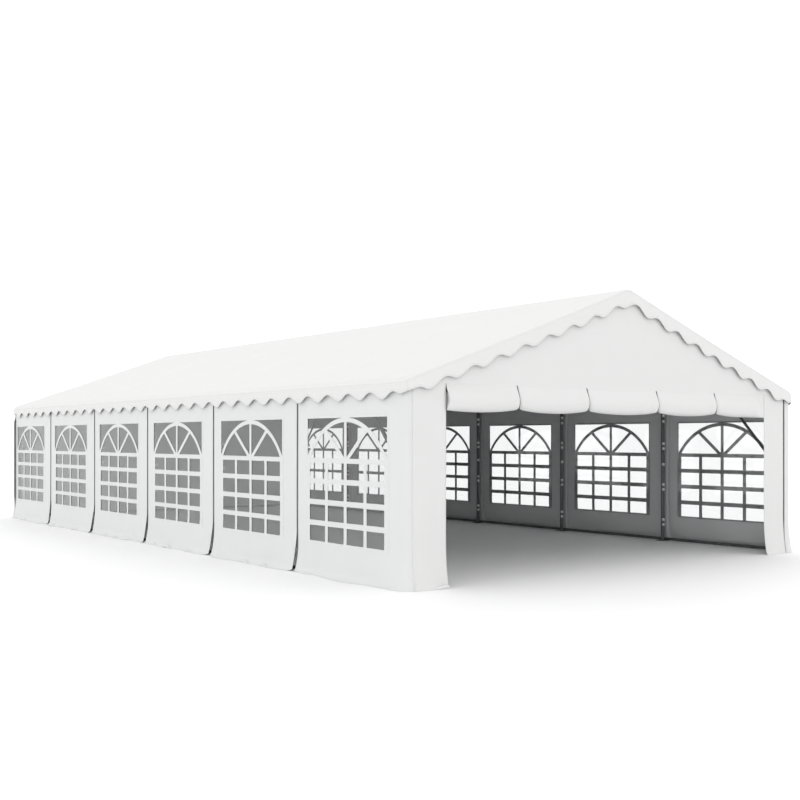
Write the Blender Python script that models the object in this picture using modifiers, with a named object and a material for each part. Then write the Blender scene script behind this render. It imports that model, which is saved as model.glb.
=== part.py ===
"""A party marquee of 6 by 12 metres: white fabric over a frame of steel tubes, six bays long.

Its long walls have an arched window in each bay, its front gable end is open, with the door
rolled up under the gable, and its rear gable end is closed.

Metres, +Z up. The ridge runs along Y, the open end faces -Y, and the origin is on the ground
under the middle of the tent.
"""

from math import cos, hypot, pi, sin

import bmesh
import bpy
from mathutils import Vector

# Driving sizes of the tent
WALL_X = 3.0
WALL_Y = 6.0
BAYS = 6
EAVE_X = 3.03
EAVE_Z = 1.98
RIDGE_Z = 3.05
ROOF_Y = 6.03
FABRIC = 0.004
GAP = 0.0003

# Frame of steel tube
POST_X = 2.915
END_POST_Y = 5.93
TUBE_R = 0.025
RAFTER_R = 0.023
SLEEVE_R = 0.031
SLEEVE_LENGTH = 0.12
SLEEVE_INSERT = 0.012
SIDES = 12
FOOT_WIDTH = 0.14
FOOT_THICK = 0.005
GROUND_RAIL_R = 0.019
BRACE_R = 0.014
BRACE_RAIL_Y = 5.05
BRACE_POST_Z = 0.98

# Side walls: each bay's panel, its skirt and its window
JOINT_GAP = 0.02
PANEL_TOP_Z = 1.97
PANEL_PLUMB_Z = 1.80
SKIRT_Z = 0.42
SKIRT_ROWS = 5
SKIRT_BEND = 1.8
SIDE_FLARE = 0.09
END_FLARE = 0.045
HEM_Z = 0.006
CORNER_R = 0.06
CORNER_STEPS = 5
FRONT_LEFT_SEAM_X = -2.934
FRONT_RIGHT_SEAM_X = 2.84
REAR_SEAM_X = 2.934
WINDOW_FROM_FAR_JOINT = 0.212
WINDOW_FROM_NEAR_JOINT = 0.326
WINDOW_LOW_Z = 0.353
WINDOW_HIGH_Z = 1.636
WINDOW_LAP = 0.02
WINDOW_THICK = 0.003

# End walls and the rolled door
SEAM_GAP = 0.01
DOOR_LEFT_X = -2.543
DOOR_RIGHT_X = 2.435
DOOR_HIGH_Z = 1.93
ROLL_TIES_X = (-1.63, -0.64, 0.46, 1.475)
ROLL_END_GAP = 0.012
ROLL_SWAG_HEIGHT = 0.25
ROLL_TIE_HEIGHT = 0.21
ROLL_DEPTH = 0.12
ROLL_STEPS_A_SWAG = 6

# Valances with a waved hem
VALANCE_STEPS_A_WAVE = 6
VALANCE_LEAN = 0.02
SIDE_WAVE = 0.3905
SIDE_HEM_Z = 1.835
SIDE_HEM_SWING = 0.035
GABLE_WAVE = 0.333
GABLE_DROP = 0.185
GABLE_DROP_SWING = 0.035

BAY_LENGTH = 2 * WALL_Y / BAYS
ROOF_SLOPE = (RIDGE_Z - EAVE_Z) / EAVE_X
ROOF_COS = 1 / hypot(1, ROOF_SLOPE)
FRAME_DROP = (FABRIC + GAP + SLEEVE_R) / ROOF_COS
RIDGE_RAIL_Z = RIDGE_Z - FRAME_DROP
EAVE_RAIL_Z = RIDGE_RAIL_Z - ROOF_SLOPE * POST_X
RAIL_HALF_LENGTH = END_POST_Y + SLEEVE_LENGTH / 2


def roof_top(x):
    return RIDGE_Z - ROOF_SLOPE * abs(x)


def roof_underside(x):
    return roof_top(x) - FABRIC / ROOF_COS


def clear_scene():
    for obj in list(bpy.data.objects):
        bpy.data.objects.remove(obj, do_unlink=True)


def collection(name):
    made = bpy.data.collections.new(name)
    bpy.context.scene.collection.children.link(made)
    return made


def finish(name, color, roughness, metallic=0.0):
    made = bpy.data.materials.new(name)
    made.use_nodes = True
    shader = made.node_tree.nodes["Principled BSDF"]
    shader.inputs["Base Color"].default_value = (*color, 1.0)
    shader.inputs["Roughness"].default_value = roughness
    shader.inputs["Metallic"].default_value = metallic
    return made


def white_fabric(name):
    return finish(name + "_fabric", (0.86, 0.86, 0.85), 0.55)


def steel(name):
    return finish(name + "_steel", (0.30, 0.31, 0.32), 0.4, 0.7)


def clear_film(name):
    return finish(name + "_film", (0.42, 0.43, 0.44), 0.2)


def add_object(name, bm, made_of):
    mesh = bpy.data.meshes.new(name)
    bm.to_mesh(mesh)
    bm.free()
    obj = bpy.data.objects.new(name, mesh)
    if made_of:
        mesh.materials.append(made_of)
        PARTS.objects.link(obj)
    else:
        obj.hide_render = True
        obj.display_type = "WIRE"
        CUTTERS.objects.link(obj)
    return obj


def box(name, low, high, made_of=None):
    bm = bmesh.new()
    bmesh.ops.create_cube(bm, size=1.0)
    low, high = Vector(low), Vector(high)
    bmesh.ops.scale(bm, vec=high - low, verts=bm.verts)
    bmesh.ops.translate(bm, vec=(low + high) / 2, verts=bm.verts)
    return add_object(name, bm, made_of)


def tube(name, start, end, radius, made_of=None):
    bm = bmesh.new()
    run = Vector(end) - Vector(start)
    bmesh.ops.create_cone(
        bm, cap_ends=True, segments=SIDES, radius1=radius, radius2=radius, depth=run.length
    )
    bmesh.ops.rotate(bm, matrix=run.to_track_quat("Z", "Y").to_matrix(), verts=bm.verts)
    bmesh.ops.translate(bm, vec=(Vector(start) + Vector(end)) / 2, verts=bm.verts)
    return add_object(name, bm, made_of)


def combine(obj, tool, operation):
    step = obj.modifiers.new(tool.name, "BOOLEAN")
    step.operation = operation
    step.solver = "EXACT"
    step.object = tool


def sheet(name, columns, rows, place, outward):
    """White fabric: a grid with its points where place(column, row) says, thickened inward."""
    bm = bmesh.new()
    bmesh.ops.create_grid(bm, x_segments=columns, y_segments=rows, size=0.5)
    for vert in bm.verts:
        column = round((vert.co.x + 0.5) * columns)
        row = round((vert.co.y + 0.5) * rows)
        vert.co = place(column, row)
    bm.normal_update()
    bm.faces.ensure_lookup_table()
    if bm.faces[0].normal.dot(Vector(outward)) < 0:
        bmesh.ops.reverse_faces(bm, faces=bm.faces)
    obj = add_object(name, bm, white_fabric(name))
    wall = obj.modifiers.new("thickness", "SOLIDIFY")
    wall.thickness = FABRIC
    wall.offset = -1.0
    wall.use_even_offset = True
    return obj


def shade_smooth(obj, angle=0.7):
    obj.data.shade_smooth()
    obj.data.set_sharp_from_angle(angle=angle)


# The frame

def portal_mesh(made_of):
    """One portal: two posts on foot plates and two rafters, joined by sleeves for the rails."""
    ridge = Vector((0, 0, RIDGE_RAIL_Z))
    reach = Vector((0, SLEEVE_LENGTH / 2, 0))
    portal = tube("portal", ridge - reach, ridge + reach, SLEEVE_R, made_of)
    bores = [ridge]
    for side, x in (("left", -POST_X), ("right", POST_X)):
        eave = Vector((x, 0, EAVE_RAIL_Z))
        along = (ridge - eave).normalized()
        sleeve = tube(side + "_sleeve", eave - reach, eave + reach, SLEEVE_R)
        rafter = tube(
            side + "_rafter", eave + along * SLEEVE_INSERT, ridge - along * SLEEVE_INSERT, RAFTER_R
        )
        post = tube(
            side + "_post", (x, 0, FOOT_THICK / 2), (x, 0, EAVE_RAIL_Z - SLEEVE_INSERT), TUBE_R
        )
        foot = box(
            side + "_foot",
            (x - FOOT_WIDTH / 2, -FOOT_WIDTH / 2, 0),
            (x + FOOT_WIDTH / 2, FOOT_WIDTH / 2, FOOT_THICK),
        )
        for tool in (rafter, sleeve, post, foot):
            combine(portal, tool, "UNION")
        bores.append(eave)
    for number, middle in enumerate(bores):
        bore = tube(f"bore_{number}", middle - 2 * reach, middle + 2 * reach, TUBE_R + GAP)
        combine(portal, bore, "DIFFERENCE")
    graph = bpy.context.evaluated_depsgraph_get()
    mesh = bpy.data.meshes.new_from_object(portal.evaluated_get(graph))
    bpy.data.objects.remove(portal)
    return mesh


def portal_frames():
    mesh = portal_mesh(steel("portal"))
    for number in range(BAYS + 1):
        y = END_POST_Y if number in (0, BAYS) else abs(WALL_Y - number * BAY_LENGTH)
        obj = bpy.data.objects.new(f"portal_frame_{number + 1}", mesh)
        obj.location.y = y if number < BAYS / 2 else -y
        PARTS.objects.link(obj)
        shade_smooth(obj)


def rail(name, start, end, radius):
    made = tube(name, start, end, radius, steel(name))
    shade_smooth(made)
    return made


def top_rails():
    """The ridge rail and the eave rails, through the sleeves, with braces at the corner posts."""
    reach = RAIL_HALF_LENGTH
    rail("ridge_rail", (0, -reach, RIDGE_RAIL_Z), (0, reach, RIDGE_RAIL_Z), TUBE_R)
    for side, x in (("left", -POST_X), ("right", POST_X)):
        eave = rail(f"{side}_eave_rail", (x, -reach, EAVE_RAIL_Z), (x, reach, EAVE_RAIL_Z), TUBE_R)
        for end, toward in (("front", -1), ("rear", 1)):
            post_y = toward * END_POST_Y
            brace = tube(
                f"{side}_{end}_brace",
                (x, toward * BRACE_RAIL_Y, EAVE_RAIL_Z),
                (x, post_y, BRACE_POST_Z),
                BRACE_R,
            )
            cope = tube(
                f"{side}_{end}_brace_cope", (x, post_y, 0), (x, post_y, EAVE_RAIL_Z), TUBE_R + GAP
            )
            combine(brace, cope, "DIFFERENCE")
            combine(eave, brace, "UNION")


def ground_rails():
    """Rails along the feet of the long walls and of the closed end, lying on the foot plates."""
    beside_post = TUBE_R + GAP + GROUND_RAIL_R
    z = FOOT_THICK + GAP + GROUND_RAIL_R
    for side, x in (("left", -POST_X - beside_post), ("right", POST_X + beside_post)):
        rail(f"{side}_ground_rail", (x, -END_POST_Y, z), (x, END_POST_Y, z), GROUND_RAIL_R)
    y = END_POST_Y + beside_post
    rail("rear_ground_rail", (-POST_X, y, z), (POST_X, y, z), GROUND_RAIL_R)


# The walls

def flare_share(z):
    """How far a skirt stands off at this height, from 0 where it is plumb to 1 at the ground."""
    return max(0.0, (SKIRT_Z - z) / SKIRT_Z) ** SKIRT_BEND


def skirt_heights():
    return [HEM_Z + (SKIRT_Z - HEM_Z) * step / SKIRT_ROWS for step in range(SKIRT_ROWS + 1)]


def corner_path(toward, seam_x):
    """Columns of a left-hand panel from its seam on an end wall round to the long wall.

    Each column is x, y, the way out of the wall there in x and y, and the skirt's flare.
    """
    path = []
    centre_x, centre_y = -WALL_X + CORNER_R, toward * (WALL_Y - CORNER_R)
    if seam_x > centre_x + CORNER_R:
        path.append((seam_x, toward * WALL_Y, 0, toward, END_FLARE))
    for step in range(CORNER_STEPS + 1):
        turn = step / CORNER_STEPS
        out_x, out_y = -sin(turn * pi / 2), toward * cos(turn * pi / 2)
        flare = END_FLARE + (SIDE_FLARE - END_FLARE) * turn
        path.append((centre_x + CORNER_R * out_x, centre_y + CORNER_R * out_y, out_x, out_y, flare))
    return path


def panel_path(bay, far_joint, near_joint, front_seam_x):
    """Columns of a left-hand panel from its far end to its near one."""
    if bay == 1:
        return [
            *corner_path(1, -REAR_SEAM_X),
            (-WALL_X, near_joint + JOINT_GAP / 2, -1, 0, SIDE_FLARE),
        ]
    far_end = (-WALL_X, far_joint - JOINT_GAP / 2, -1, 0, SIDE_FLARE)
    if bay == BAYS:
        return [far_end, *reversed(corner_path(-1, front_seam_x))]
    return [far_end, (-WALL_X, near_joint + JOINT_GAP / 2, -1, 0, SIDE_FLARE)]


def wall_panel(name, path, mirror):
    """A panel hung from the eave: plumb down to its skirt, which stands off to the ground."""
    heights = skirt_heights() + [PANEL_PLUMB_Z, PANEL_TOP_Z]
    eave_off = EAVE_X - WALL_X - FABRIC - GAP

    def place(column, row):
        x, y, out_x, out_y, flare = path[column]
        z = heights[row]
        off = eave_off if z == PANEL_TOP_Z else flare * flare_share(z)
        return Vector((mirror * (x + out_x * off), y + out_y * off, z))

    outward = (mirror * path[0][2], path[0][3], 0)
    return sheet(name, len(path) - 1, len(heights) - 1, place, outward)


def side_wall(side, mirror, front_seam_x):
    for bay in range(1, BAYS + 1):
        far_joint = WALL_Y - (bay - 1) * BAY_LENGTH
        near_joint = far_joint - BAY_LENGTH
        path = panel_path(bay, far_joint, near_joint, front_seam_x)
        panel = wall_panel(f"{side}_wall_{bay}", path, mirror)
        low_y = near_joint + WINDOW_FROM_NEAR_JOINT
        high_y = far_joint - WINDOW_FROM_FAR_JOINT
        hole_x = sorted(mirror * (-WALL_X + off) for off in (-WINDOW_LAP, WINDOW_LAP))
        hole = box(
            f"{side}_window_hole_{bay}",
            (hole_x[0], low_y, WINDOW_LOW_Z),
            (hole_x[1], high_y, WINDOW_HIGH_Z),
        )
        combine(panel, hole, "DIFFERENCE")
        film_in = FABRIC + GAP
        film_x = sorted(mirror * (-WALL_X + off) for off in (film_in, film_in + WINDOW_THICK))
        film = f"{side}_window_{bay}"
        box(
            film,
            (film_x[0], low_y - WINDOW_LAP, WINDOW_LOW_Z),
            (film_x[1], high_y + WINDOW_LAP, WINDOW_HIGH_Z + WINDOW_LAP),
            clear_film(film),
        )


def end_wall(name, toward, left_x, right_x):
    """A gable wall: from side seam to side seam, up to the roof cover, with a skirt."""
    columns_x = (left_x, 0.0, right_x)
    heights = skirt_heights()

    def place(column, row):
        x = columns_x[column]
        z = heights[row] if row < len(heights) else roof_underside(x) - GAP
        return Vector((x, toward * (WALL_Y + END_FLARE * flare_share(z)), z))

    return sheet(name, len(columns_x) - 1, len(heights), place, (0, toward, 0))


def end_walls():
    front = end_wall(
        "front_wall", -1, FRONT_LEFT_SEAM_X + SEAM_GAP, FRONT_RIGHT_SEAM_X - SEAM_GAP
    )
    doorway = box(
        "doorway", (DOOR_LEFT_X, -WALL_Y - 0.5, -0.5), (DOOR_RIGHT_X, -WALL_Y + 0.5, DOOR_HIGH_Z)
    )
    combine(front, doorway, "DIFFERENCE")
    end_wall("rear_wall", 1, -REAR_SEAM_X + SEAM_GAP, REAR_SEAM_X - SEAM_GAP)


def door_roll():
    """The door rolled up under the gable: it hangs in swags between its ties."""
    stops = [DOOR_LEFT_X + ROLL_END_GAP, *ROLL_TIES_X, DOOR_RIGHT_X - ROLL_END_GAP]
    stations = []
    for start, end in zip(stops, stops[1:]):
        for step in range(ROLL_STEPS_A_SWAG):
            share = step / ROLL_STEPS_A_SWAG
            swell = 1.0 if start == stops[0] and share < 0.5 else sin(pi * share)
            if end == stops[-1] and share > 0.5:
                swell = 1.0
            stations.append((start + (end - start) * share, swell))
    stations.append((stops[-1], 1.0))
    bm = bmesh.new()
    bmesh.ops.create_grid(bm, x_segments=len(stations) - 1, y_segments=SIDES, size=0.5)
    for vert in bm.verts:
        x, swell = stations[round((vert.co.x + 0.5) * (len(stations) - 1))]
        turn = 2 * pi * (round((vert.co.y + 0.5) * SIDES) % SIDES) / SIDES
        height = ROLL_TIE_HEIGHT + (ROLL_SWAG_HEIGHT - ROLL_TIE_HEIGHT) * swell
        depth = ROLL_DEPTH * height / ROLL_SWAG_HEIGHT
        middle_z = DOOR_HIGH_Z - GAP - height / 2
        vert.co = (x, -WALL_Y + sin(turn) * depth / 2, middle_z + cos(turn) * height / 2)
    bmesh.ops.remove_doubles(bm, verts=bm.verts, dist=0.0001)
    bmesh.ops.holes_fill(bm, edges=bm.edges, sides=0)
    bmesh.ops.recalc_face_normals(bm, faces=bm.faces)
    shade_smooth(add_object("door_roll", bm, white_fabric("door_roll")))


# The roof

def roof_cover():
    columns_x = (-EAVE_X, 0.0, EAVE_X)

    def place(column, row):
        x = columns_x[column]
        return Vector((x, (-ROOF_Y, ROOF_Y)[row], roof_top(x)))

    sheet("roof_cover", len(columns_x) - 1, 1, place, (0, 0, 1))


def side_valances():
    reach = ROOF_Y - FABRIC - 2 * GAP
    waves = 2 * reach / SIDE_WAVE
    columns = round(waves * VALANCE_STEPS_A_WAVE)
    for side, sign in (("left", -1), ("right", 1)):

        def place(column, row):
            y = -reach + 2 * reach * column / columns
            if row == 1:
                return Vector((sign * EAVE_X, y, roof_underside(EAVE_X) - GAP))
            hem = SIDE_HEM_Z - SIDE_HEM_SWING * cos(2 * pi * (y + WALL_Y) / SIDE_WAVE)
            return Vector((sign * (EAVE_X + VALANCE_LEAN), y, hem))

        sheet(side + "_valance", columns, 1, place, (sign, 0, 0))


def gable_valances():
    steps = round(EAVE_X / GABLE_WAVE * VALANCE_STEPS_A_WAVE)
    for end, toward in (("front", -1), ("rear", 1)):

        def place(column, row):
            x = EAVE_X * (column - steps) / steps
            if row == 1:
                return Vector((x, toward * ROOF_Y, roof_underside(x) - GAP))
            drop = GABLE_DROP + GABLE_DROP_SWING * cos(2 * pi * x / GABLE_WAVE)
            return Vector((x, toward * (ROOF_Y + VALANCE_LEAN), roof_top(x) - drop))

        sheet(end + "_valance", 2 * steps, 1, place, (0, toward, 0))


clear_scene()
PARTS = collection("party_marquee")
CUTTERS = collection("cutters")
portal_frames()
top_rails()
ground_rails()
side_wall("left", 1, FRONT_LEFT_SEAM_X)
side_wall("right", -1, -FRONT_RIGHT_SEAM_X)
end_walls()
door_roll()
roof_cover()
side_valances()
gable_valances()
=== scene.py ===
from math import asin, copysign, cos, exp, hypot, pi, radians, sin, sqrt

import bmesh
import bpy
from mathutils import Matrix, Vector, noise


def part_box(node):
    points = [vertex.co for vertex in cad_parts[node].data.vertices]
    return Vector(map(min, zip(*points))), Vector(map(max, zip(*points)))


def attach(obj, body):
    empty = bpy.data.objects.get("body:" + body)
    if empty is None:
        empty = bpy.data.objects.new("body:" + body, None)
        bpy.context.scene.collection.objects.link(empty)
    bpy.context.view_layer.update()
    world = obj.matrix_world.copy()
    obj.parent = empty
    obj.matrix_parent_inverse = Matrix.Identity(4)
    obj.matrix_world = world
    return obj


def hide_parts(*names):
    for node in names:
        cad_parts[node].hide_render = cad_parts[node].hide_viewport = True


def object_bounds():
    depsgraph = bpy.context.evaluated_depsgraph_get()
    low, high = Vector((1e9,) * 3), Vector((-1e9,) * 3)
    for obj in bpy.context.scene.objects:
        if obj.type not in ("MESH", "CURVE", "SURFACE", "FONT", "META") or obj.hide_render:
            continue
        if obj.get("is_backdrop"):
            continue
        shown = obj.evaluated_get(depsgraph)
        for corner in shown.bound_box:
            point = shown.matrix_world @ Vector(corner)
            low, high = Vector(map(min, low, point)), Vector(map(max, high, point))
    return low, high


# A white party marquee, six bays of two metres long, over a frame of steel tubes.
# Metres, +Z up: the ridge runs along Y, the open end faces -Y and the closed end +Y.
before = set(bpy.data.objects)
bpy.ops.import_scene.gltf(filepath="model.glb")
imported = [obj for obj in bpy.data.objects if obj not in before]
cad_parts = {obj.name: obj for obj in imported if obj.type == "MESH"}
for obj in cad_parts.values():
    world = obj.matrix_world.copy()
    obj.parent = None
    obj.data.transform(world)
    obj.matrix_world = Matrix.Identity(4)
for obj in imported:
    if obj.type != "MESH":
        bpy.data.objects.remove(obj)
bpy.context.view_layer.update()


# The view
# The marquee stands on a plain pale floor under an even white sky, and is seen from eye height
# off its open corner.
EYE = (-9.058, -14.2025, 1.424)
TURN_TO_RIGHT = 36.567
LENS = 49.27
SENSOR_WIDTH = 36
SHIFT_X = -0.0124
SHIFT_Y = 0.0483
SIGHT_END = 300
SKY_LOW = 1.12
SKY_HIGH = 1.30
FLOOR_HALF = 70.0
FLOOR_PITCH = 10.0
FLOOR_Z = -0.0005

camera = bpy.data.objects.new("camera", bpy.data.cameras.new("camera"))
bpy.context.scene.collection.objects.link(camera)
camera.location = EYE
camera.rotation_euler = (radians(90), 0, radians(-TURN_TO_RIGHT))
camera.data.lens = LENS
camera.data.sensor_width = SENSOR_WIDTH
camera.data.shift_x = SHIFT_X
camera.data.shift_y = SHIFT_Y
camera.data.clip_end = SIGHT_END
bpy.context.scene.camera = camera
bpy.context.scene.view_settings.view_transform = "Standard"


class Output:
    """An output of a node. Arithmetic with it adds Math nodes to its tree."""

    def __init__(self, socket):
        self.socket, self.tree = socket, socket.id_data

    def __abs__(self):
        return reckon("ABSOLUTE", self)

    def __add__(self, other):
        return reckon("ADD", self, other)

    def __sub__(self, other):
        return reckon("SUBTRACT", self, other)

    def __rsub__(self, other):
        return reckon("SUBTRACT", other, self)

    def __mul__(self, other):
        return reckon("MULTIPLY", self, other)

    def __truediv__(self, other):
        return reckon("DIVIDE", self, other)

    def __pow__(self, other):
        return reckon("POWER", self, other)


def feed(socket, value):
    """Gives a socket the output of another node, or a plain value."""
    if isinstance(value, Output):
        value.tree.links.new(value.socket, socket)
    else:
        socket.default_value = value


def fill(node, **given):
    """Gives a node its settings, in small letters, and its sockets, with _ for a space."""
    for name, value in given.items():
        if name[0].islower():
            setattr(node, name, value)
        else:
            feed(node.inputs[name.replace("_", " ")], value)
    return node


def wire(tree, kind, out=0, **given):
    """Adds a node with these values. Gives its first output, or the one of this name."""
    return Output(fill(tree.nodes.new(kind), **given).outputs[out])


def reckon(operation, *values, kind="ShaderNodeMath"):
    """One step of arithmetic with outputs and plain numbers."""
    tree = next(value.tree for value in values if isinstance(value, Output))
    node = fill(tree.nodes.new(kind), operation=operation)
    for socket, value in zip(node.inputs, values):
        feed(socket, value)
    return Output(node.outputs[0])


def rescale(value, low, high, to_low=0.0, to_high=1.0, **settings):
    """The value, moved from the range low to high into the range to_low to to_high."""
    return wire(
        value.tree, "ShaderNodeMapRange", Value=value, From_Min=low, From_Max=high,
        To_Min=to_low, To_Max=to_high, **settings,
    )


sky = bpy.data.worlds.new("even_sky")
bpy.context.scene.world = sky
sky.use_nodes = True
sky_place = wire(sky.node_tree, "ShaderNodeTexCoord", "Generated")
sky_height = wire(sky.node_tree, "ShaderNodeSeparateXYZ", "Z", Vector=sky_place)
fill(
    sky.node_tree.nodes["Background"], Color=(1, 1, 1, 1),
    Strength=rescale(sky_height, 0.0, 1.0, SKY_LOW, SKY_HIGH),
)


def plain_material(name, color, roughness, specular=0.5, **more):
    """A material with the values that are the same all over, and its shader to add to."""
    made = bpy.data.materials.new(name)
    made.use_nodes = True
    shader = made.node_tree.nodes["Principled BSDF"]
    fill(
        shader, Base_Color=(*color, 1), Roughness=roughness, Specular_IOR_Level=specular, **more
    )
    return made, shader


def two_tones(share, dark, pale):
    """A colour that goes from dark to pale with the share."""
    return wire(
        share.tree, "ShaderNodeMix", "Result", data_type="RGBA", Factor=share,
        A=(*dark, 1), B=(*pale, 1),
    )


def link_piece(name, mesh):
    piece = bpy.data.objects.new(name, mesh)
    bpy.context.scene.collection.objects.link(piece)
    return piece


def placed_mesh(name, bm, flat, place, outward):
    """A mesh whose points are where place puts their flat spots, which are its UV map."""
    uv = bm.loops.layers.uv.new("UVMap")
    for face in bm.faces:
        for loop in face.loops:
            loop[uv].uv = flat[loop.vert]
    for vert in bm.verts:
        vert.co = place(*flat[vert])
    bm.normal_update()
    if sum(face.normal.dot(outward) for face in bm.faces) < 0:
        bmesh.ops.reverse_faces(bm, faces=bm.faces)
    mesh = bpy.data.meshes.new(name)
    bm.to_mesh(mesh)
    bm.free()
    return mesh


def grid_mesh(name, columns, rows, place, outward, keep=None):
    """A grid with a point for each column and row, where place(column, row) puts it.

    Columns and rows are lists of flat sizes in metres. Faces whose middle keep(column, row)
    turns down are left open.
    """
    bm = bmesh.new()
    last_column, last_row = len(columns) - 1, len(rows) - 1
    bmesh.ops.create_grid(bm, x_segments=last_column, y_segments=last_row, size=0.5)
    flat = {}
    for vert in bm.verts:
        column, row = (vert.co.x + 0.5) * last_column, (vert.co.y + 0.5) * last_row
        flat[vert] = (columns[round(column)], rows[round(row)])
    if keep:
        cut = []
        for face in bm.faces:
            middle = (sum(flat[vert][axis] for vert in face.verts) / 4 for axis in (0, 1))
            if not keep(*middle):
                cut.append(face)
        bmesh.ops.delete(bm, geom=cut, context="FACES")
    mesh = placed_mesh(name, bm, flat, place, outward)
    mesh.shade_smooth()
    return mesh


def grid_piece(name, *grid):
    return link_piece(name, grid_mesh(name, *grid))


def steps(start, end, pitch):
    """Even steps of about the pitch from start to end, with both of them."""
    count = max(1, round(abs(end - start) / pitch))
    return [start + (end - start) * step / count for step in range(count + 1)]


floor_material, floor_shader = plain_material("pale_floor", (0.92, 0.92, 0.92), 0.6, specular=0.2)
floor_spots = wire(floor_material.node_tree, "ShaderNodeTexNoise", Scale=0.6)
fill(floor_shader, Base_Color=two_tones(floor_spots, (0.91, 0.91, 0.91), (0.93, 0.93, 0.93)))
floor_steps = steps(-FLOOR_HALF, FLOOR_HALF, FLOOR_PITCH)
floor = grid_piece(
    "floor", floor_steps, floor_steps, lambda x, y: Vector((x, y, FLOOR_Z)), (0, 0, 1)
)
floor.data.materials.append(floor_material)
floor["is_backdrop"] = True


# The steel frame
# Seven portals of powder-coated tube, each with two posts on foot plates and two rafters, and
# the rails that run through their sleeves. The solids of the frame stay as they are.
STEEL_GREY = (0.12, 0.123, 0.127)
STEEL_DARK = (0.10, 0.103, 0.107)
STEEL_PALE = (0.15, 0.154, 0.16)


def object_noise(tree, **settings):
    """Noise over the place on the piece itself."""
    place = wire(tree, "ShaderNodeTexCoord", "Object")
    return wire(tree, "ShaderNodeTexNoise", Vector=place, **settings)


def relief(height, strength, depth, **under):
    """Bumps of this depth, over other bumps where under gives their Normal."""
    return wire(
        height.tree, "ShaderNodeBump", Strength=strength, Distance=depth, Height=height, **under
    )


steel, steel_shader = plain_material("powder_coated_steel", STEEL_GREY, 0.45, Metallic=0.35)
steel_grain = object_noise(steel.node_tree, Scale=420.0)
steel_scuffs = object_noise(steel.node_tree, Scale=9.0, Detail=6.0)
fill(
    steel_shader,
    Base_Color=two_tones(steel_scuffs, STEEL_DARK, STEEL_PALE),
    Roughness=rescale(steel_scuffs, 0.3, 0.7, 0.38, 0.55),
    Normal=relief(steel_grain, 0.25, 0.0004),
)
for name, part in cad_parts.items():
    if name.startswith("portal_frame") or name.endswith("_rail"):
        part.data.materials.clear()
        part.data.materials.append(steel)


# The roof cover
# One sheet of coated polyester over the ridge, laced down to the eave rails. It lies on the
# rafters and sags a little between them, and its edges fold down over the valances.
EAVE_X = 2.9975
RIDGE_Z = 3.05
ROOF_Y = 5.9975
ROOF_CORNER_R = 0.08
ROOF_SLOPE = 1.07 / 3.03
RIDGE_RISE = 0.02
RIDGE_ROUND = 0.03
RIDGE_STRIP = 0.12
PORTALS_Y = (-5.93, -4.0, -2.0, 0.0, 2.0, 4.0, 5.93)
ROOF_SAG = 0.016
ROOF_RIPPLE = 0.0022
EAVE_BEND_X = 2.90
EAVE_BEND = 0.022
EDGE_R = 0.03
EDGE_ARC = EDGE_R * pi / 2
ROOF_PITCH = 0.09
BEND_PITCH = 0.02
FOLD_PITCH = 0.004
CLOTH_THICKNESS = 0.0014
WEAVE_DEPTH = 0.00012
CLOTH_CREASE_DEPTH = 0.0012
ROOF_WHITE = (0.697, 0.697, 0.692)
# Grey of the cloths' inner faces: painted shade for the dim inside of the tent.
PAINTED_SHADE_LINING_GREY = (0.62, 0.625, 0.63)


def coated_cloth(name, color):
    """Coated polyester: a fine woven ground under a satin coat, with soft shallow creases whose
    hollows are painted slightly darker as painted shade.
    """
    made, shader = plain_material(name, color, 0.5, specular=0.35)
    tree = made.node_tree
    flat = wire(tree, "ShaderNodeTexCoord", "UV")
    warp, weft = (
        wire(
            tree, "ShaderNodeTexWave", "Fac", wave_type="BANDS", bands_direction=direction,
            Scale=260.0, Vector=flat,
        )
        for direction in ("X", "Y")
    )
    creases = object_noise(tree, Scale=3.2, Detail=3.0, Roughness=0.45)
    # Painted shade: the colour follows the crease noise, a little darker in the creases' hollows
    # and paler on their crests.
    dark, pale = ([min(1.0, shade * tone) for tone in color] for shade in (0.985, 1.015))
    soft = relief(creases, 0.6, CLOTH_CREASE_DEPTH)
    fill(
        shader,
        Base_Color=two_tones(creases, dark, pale),
        Roughness=rescale(creases, 0.3, 0.7, 0.44, 0.56),
        Normal=relief(warp * weft, 0.6, WEAVE_DEPTH, Normal=soft),
    )
    return made


def line_cloth(piece, outside, inside):
    """Gives a cloth its thickness, inward, with its coat outside and the inside material on its
    inner face, for most cloths the grey painted shade.
    """
    piece.data.materials.append(outside)
    piece.data.materials.append(inside)
    thickness = piece.modifiers.new("cloth_thickness", "SOLIDIFY")
    thickness.thickness = CLOTH_THICKNESS
    thickness.offset = -1.0
    thickness.material_offset = 1


def waver(x, y, z):
    """Smooth noise round 0."""
    return noise.noise(Vector((x, y, z)))


def roof_line(x):
    """How high the roof is at x: straight down its rafters, and bent a little at the eave."""
    bend = max(0.0, (abs(x) - EAVE_BEND_X) / (EAVE_X - EAVE_BEND_X))
    rise = RIDGE_RISE * (1 - abs(x) / EAVE_X) ** 4
    return RIDGE_Z - ROOF_SLOPE * hypot(x, RIDGE_ROUND) - EAVE_BEND * bend**2 + rise


def between_portals(y):
    """0 over a rafter and 1 half way to the next."""
    for low, high in zip(PORTALS_Y, PORTALS_Y[1:]):
        if low <= y <= high:
            return sin(pi * (y - low) / (high - low)) ** 2
    return 0.0


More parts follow.
